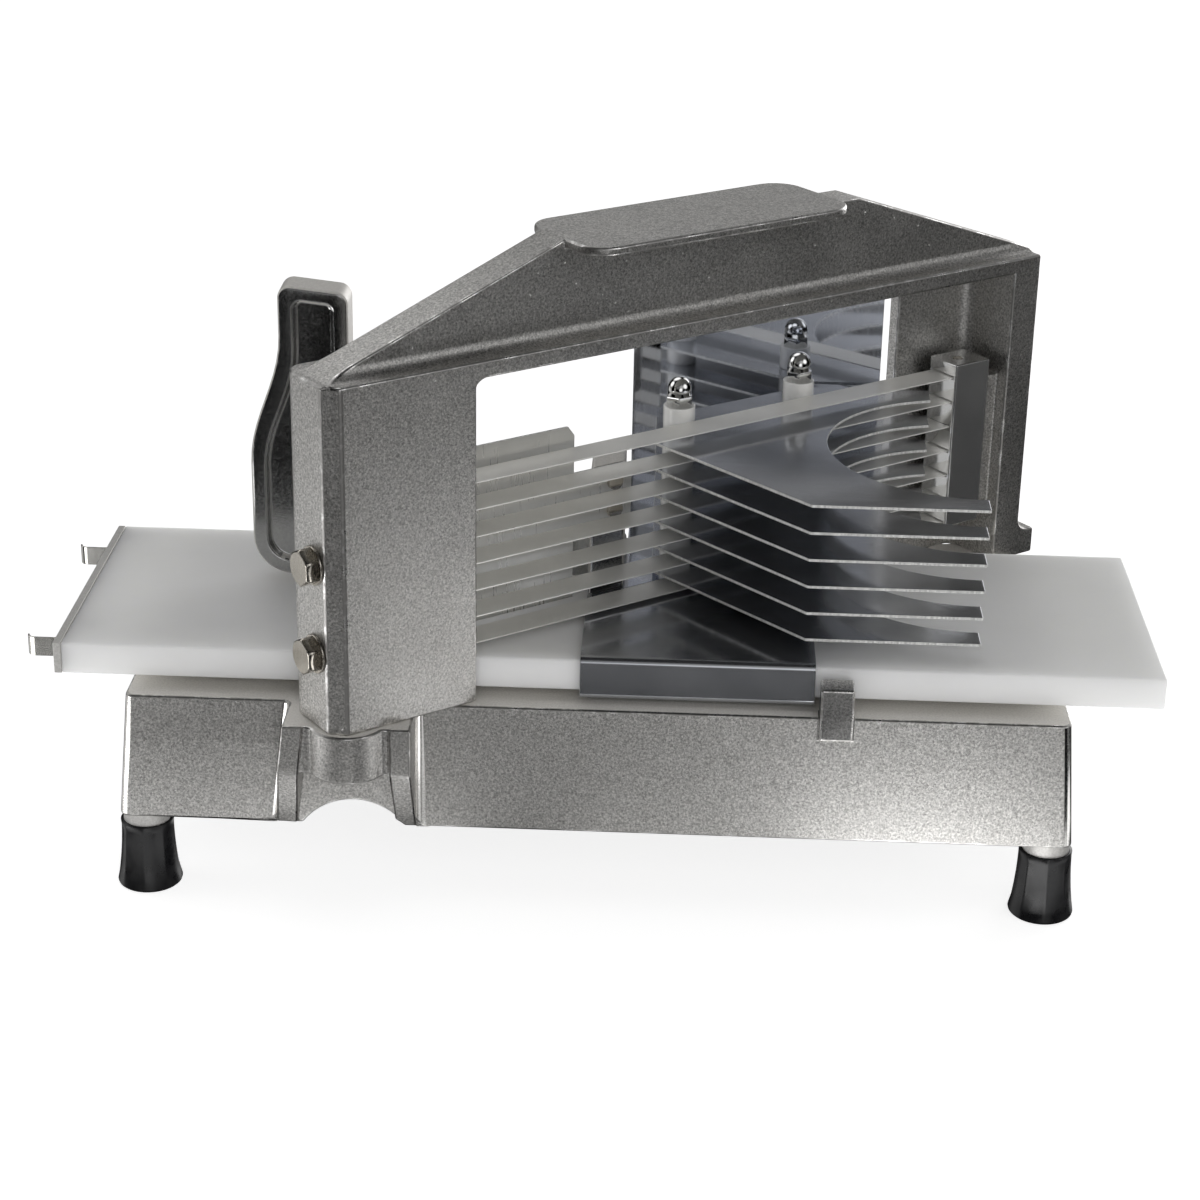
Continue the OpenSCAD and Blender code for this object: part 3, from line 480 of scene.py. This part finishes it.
def makeBolts(node, pieceName, shape, washer):
    source = mergedCopy(node)
    work = bmesh.new()
    half, steps = shape["acrossFlats"] / 2, 8
    flat = shape["cornerCut"] * half
    for face in source.faces:
        if len(face.verts) != 6 or abs(face.normal.dot(alongBridge)) < 0.99:
            continue
        middle, out = face.calc_center_median(), face.normal.normalized()
        first = (face.verts[0].co - middle).normalized()
        second = out.cross(first)
        offsets = [vert.co - middle for vert in source.verts]
        deep = max(-p.dot(out) for p in offsets if (p - out * p.dot(out)).length < shape["reach"])

        def ring(reach, depth):
            points = []
            for k in range(6 * steps):
                angle = k * pi / 3 / steps
                corner = half / cos(angle % (pi / 3) - pi / 6)
                r = corner if reach is None else reach
                d = max(0, corner - flat) * shape["cornerFall"] if depth is None else depth
                points.append(middle + (first * cos(angle) + second * sin(angle)) * r - out * d)
            return points

        skin(work, [ring(None, shape["head"]), ring(None, None), ring(flat, 0)])
        seat = shape["head"]
        if washer:
            thick = shape["washerThick"]
            skin(work, [ring(shape["washer"], seat + thick), ring(shape["washer"], seat + 0.2 * thick),
                        ring(0.97 * shape["washer"], seat)])
        skin(work, [ring(shape["shank"], deep), ring(shape["shank"], seat - 1 * mm)])
    source.free()
    return addPiece(work, pieceName, node, [boltSteel])


makeBolts("tension_bolts", "tensionBolts", hexBolt, True)
makeBolts("anchor_bolts", "anchorBolts", hexBolt, False)

acornNut = {
    "acrossFlats": 10 * mm,
    "hexHeight": 4.5 * mm,
    "neck": 2.5 * mm,
    "dome": 4.9 * mm,
    "cornerCut": 0.9 * mm,
    "sink": 0.3 * mm,  # how deep the neck starts inside the hexagon
}


def makeAcornNuts(shape):
    work = bmesh.new()
    for low, high in solidsOf("acorn_nuts"):
        foot = Vector(((low.x + high.x) / 2, (low.y + high.y) / 2, low.z))
        hexRadius = shape["acrossFlats"] / 2 / cos(pi / 6)
        rise = Matrix.Translation(foot + Vector((0, 0, shape["hexHeight"] / 2)))
        made = bmesh.ops.create_cone(work, cap_ends=True, segments=6, radius1=hexRadius, radius2=hexRadius,
                                     depth=shape["hexHeight"], matrix=rise)
        corners = [v for v in made["verts"] if v.co.z > foot.z + shape["hexHeight"] / 2]
        bmesh.ops.bevel(work, geom=corners, offset=shape["cornerCut"], affect="VERTICES", segments=3,
                        profile=0.5, material=-1, clamp_overlap=False)
        ring = foot.z + shape["hexHeight"] + shape["neck"]
        peak = high.z - ring
        steps = 10
        line = [(shape["dome"], foot.z + shape["hexHeight"] - shape["sink"])]
        turns = [pi / 2 * i / steps for i in range(steps)]
        line += [(shape["dome"] * cos(turn), ring + peak * sin(turn)) for turn in turns]
        verts = [work.verts.new((foot.x + r, foot.y, z)) for r, z in line]
        verts.append(work.verts.new((foot.x, foot.y, high.z)))
        edges = [work.edges.new(pair) for pair in zip(verts, verts[1:])]
        bmesh.ops.spin(work, geom=verts + edges, cent=foot, axis=(0, 0, 1), angle=2 * pi, steps=48,
                       use_merge=True)
    bmesh.ops.remove_doubles(work, verts=work.verts, dist=1e-5)
    rims = [e for e in work.edges if len(e.link_faces) == 1]
    bmesh.ops.holes_fill(work, edges=rims, sides=0)
    return addPiece(work, "acornNuts", "acorn_nuts", [brightNut])


makeAcornNuts(acornNut)

rubberFoot = {
    "ridges": 8,
    "hollow": 0.5 * mm,  # how far the panels between the ridges draw in
    "rimRound": 1.4 * mm,
    "waist": 10.5 * mm,  # radius at the top
    "skirt": 12.8 * mm,  # radius at the table
    "skirtTop": 5 * mm,
    "shoulderIn": 0.6 * mm,  # step in above the skirt
    "topRim": 1.2 * mm,
    "skin": 0.5 * mm,  # points no deeper than this inside the waist belong to the outside
}


def makeFoot(corner, shape):
    node = f"foot_{corner}"
    low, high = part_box(node)
    middle = Vector(((low[0] + high[0]) / 2, (low[1] + high[1]) / 2, 0))
    tall = high[2] - low[2]
    rim, skirtTop = shape["rimRound"], shape["skirtTop"]
    shoulder = shape["skirt"] - shape["shoulderIn"]
    line = [(0, 0), (shape["skirt"] - rim, 0)]
    line += [(shape["skirt"] - rim + rim * sin(a), rim - rim * cos(a)) for a in (0.5, 1.0, pi / 2)]
    for i in range(9):  # hollow curve from the skirt to the waist
        t = i / 8
        radius = shape["waist"] + (shoulder - shape["waist"]) * (1 - t) ** 2
        line.append((radius, skirtTop + (tall - skirtTop) * t))
    line += [(shape["waist"] - shape["topRim"], tall), (0, tall)]
    work = bmesh.new()
    verts = [work.verts.new((middle.x + r, middle.y, low[2] + z)) for r, z in line]
    edges = [work.edges.new(pair) for pair in zip(verts, verts[1:])]
    bmesh.ops.spin(work, geom=verts + edges, cent=middle, axis=(0, 0, 1), angle=2 * pi,
                   steps=12 * shape["ridges"], use_merge=True)
    bmesh.ops.remove_doubles(work, verts=work.verts, dist=1e-5)
    for vert in work.verts:  # panels drawn in between narrow ridges
        side = Vector((vert.co.x, vert.co.y, 0)) - middle
        t = (vert.co.z - low[2] - rim) / (tall - rim)
        if side.length > shape["waist"] - shape["skin"] and 0 < t < 1:
            panel = abs(sin(shape["ridges"] / 2 * atan2(side.y, side.x))) ** 0.5
            vert.co -= side.normalized() * shape["hollow"] * panel * min(1, 4 * t, 6 * (1 - t))
    return addPiece(work, "rubberFoot." + corner, node, [blackRubber])


for corner in ("front_left", "front_right", "rear_left", "rear_right"):
    makeFoot(corner, rubberFoot)
softened("foot_studs", "footStuds", [barMetal], softEdges["bar"], 2)
print("fasteners and feet made")

plainFinish = {
    "tie_rods": boltSteel, "handle_studs": boltSteel, "handle_nuts": boltSteel, "guard_screws": boltSteel,
    "frame_bolts": boltSteel, "board_screws": boltSteel, "clip_screws": boltSteel, "blade_pins": boltSteel,
}
plainFinish.update({f"blade_{i}": bladeSteel for i in range(1, 8)})
for node, finish in plainFinish.items():
    slots = nodes[node].material_slots
    for slot in slots:
        slot.link = "OBJECT"
        slot.material = finish

# floor, light
studio = {
    "floorSize": 40.0,
    "floorColour": (0.6, 0.6, 0.6),
    "floorGlow": 0.82,  # a lit table, so that shadows on it stay faint
    "lamps": (
        # name, place, target, size, power
        ("overheadLamp", (0.1, -0.1, 1.8), (0, 0, 0.1), 1.6, 5.0),
        ("frontLamp", (0.2, -1.6, 0.9), (0, 0, 0.12), 1.2, 3.9),
    ),
    "cards": (
        # bright card lying on the table in front, seen only in the metal: middle, width, light
        (-0.4, -0.2, 0.2, 3.2),
        (-0.2, -0.2, 0.2, 0.25),
        (-0.1, -0.15, 0.1, 0.8),
        (0.04, -0.15, 0.1, 0.55),
        (0.14, -0.15, 0.1, 2.6),
        (0.24, -0.15, 0.1, 0.9),
        (0.34, -0.1, 0.1, 1.2),
        (-0.27, -0.15, 0.1, 1.2),
        (-0.19, -0.145, 0.07, 0.6),
        (0.6, -0.2, 0.2, 0.3),
        (0.0, -0.36, 0.2, 0.09),
    ),
}


def makeFloor(setup):
    work = bmesh.new()
    bmesh.ops.create_grid(work, x_segments=1, y_segments=1, size=setup["floorSize"] / 2)
    mesh = bpy.data.meshes.new("paleFloor")
    work.to_mesh(mesh)
    work.free()
    finish, tree, surface = newFinish("paleFloor")
    tint = noise(tree, objectCoords(tree), 3, 2)
    r, g, b = setup["floorColour"]
    pale = colourBetween(tree, tint, (r - 0.01, g - 0.01, b - 0.01), (r, g, b))
    tree.links.new(pale, surface.inputs["Base Color"])
    surface.inputs["Roughness"].default_value = 0.8
    surface.inputs["Specular IOR Level"].default_value = 0.2
    surface.inputs["Emission Color"].default_value = (1, 1, 1, 1)
    surface.inputs["Emission Strength"].default_value = setup["floorGlow"]
    mesh.materials.append(finish)
    floor = bpy.data.objects.new("paleFloor", mesh)
    floor.visible_glossy = False  # the metal mirrors the dark room below the table's edge, not the table
    floor.visible_shadow = False
    bpy.context.scene.collection.objects.link(floor)


def makeLamps(setup):
    for name, place, target, size, power in setup["lamps"]:
        lamp = bpy.data.lights.new(name, "AREA")
        lamp.shape = "DISK"
        lamp.size = size
        lamp.energy = power
        holder = bpy.data.objects.new(name, lamp)
        holder.location = place
        holder.rotation_euler = (Vector(target) - Vector(place)).to_track_quat("-Z", "Y").to_euler()
        holder.visible_glossy = False  # the metal mirrors only the soft patches of the world
        bpy.context.scene.collection.objects.link(holder)


def makeCards(setup):
    for x, y, size, light in setup["cards"]:
        glow = bpy.data.lights.new("tableCard", "AREA")
        glow.shape = "SQUARE"
        glow.size = size
        glow.energy = light * pi * size ** 2
        card = bpy.data.objects.new("tableCard", glow)
        card.location = (x, y, 4 * mm)
        card.rotation_euler = (pi, 0, 0)
        card.visible_camera = False
        card.visible_diffuse = False
        bpy.context.scene.collection.objects.link(card)


# soft patches of light and shade round the object, each with a direction in degrees:
# round to the right from the front, up from the horizon, half its width, and how much light
worldPatches = (
    (-110, -20, 20, 0.6),
    (80, -22, 16, 0.05),
    (10, 0, 14, 1.1),
    (180, 0, 20, 0.55),
    (145, 0, 20, 2.8),
    (-100, 25, 18, 1.35),
    (-20, 25, 18, 0.15),
    (20, 25, 18, 0.4),
    (60, 25, 18, 1.2),
    (140, 25, 18, 1.2),
    (-150, 52, 20, 1.25),
)


def makeWorld(patches):
    world = bpy.data.worlds.new("studioWorld")
    world.use_nodes = True
    bpy.context.scene.world = world
    tree = world.node_tree
    coords = tree.nodes.new("ShaderNodeTexCoord")
    direction = coords.outputs["Generated"]
    total = None
    for around, up, half, light in patches:
        level = cos(radians(up))
        aim = (sin(radians(around)) * level, -cos(radians(around)) * level, sin(radians(up)))
        dot = tree.nodes.new("ShaderNodeVectorMath")
        dot.operation = "DOT_PRODUCT"
        dot.inputs[1].default_value = aim
        tree.links.new(direction, dot.inputs[0])
        glow = tree.nodes.new("ShaderNodeMapRange")
        glow.interpolation_type = "SMOOTHSTEP"
        glow.inputs["From Min"].default_value = cos(radians(half * 1.4))
        glow.inputs["From Max"].default_value = cos(radians(half * 0.4))
        glow.inputs["To Max"].default_value = light
        tree.links.new(dot.outputs["Value"], glow.inputs["Value"])
        part = glow.outputs["Result"]
        total = part if total is None else together(tree, total, part, "ADD")
    background = tree.nodes["Background"]
    tree.links.new(total, background.inputs["Strength"])
    background.inputs["Color"].default_value = (1, 1, 1, 1)


makeFloor(studio)
makeLamps(studio)
makeCards(studio)
makeWorld(worldPatches)
bpy.context.scene.view_settings.view_transform = "Standard"
print("studio made")
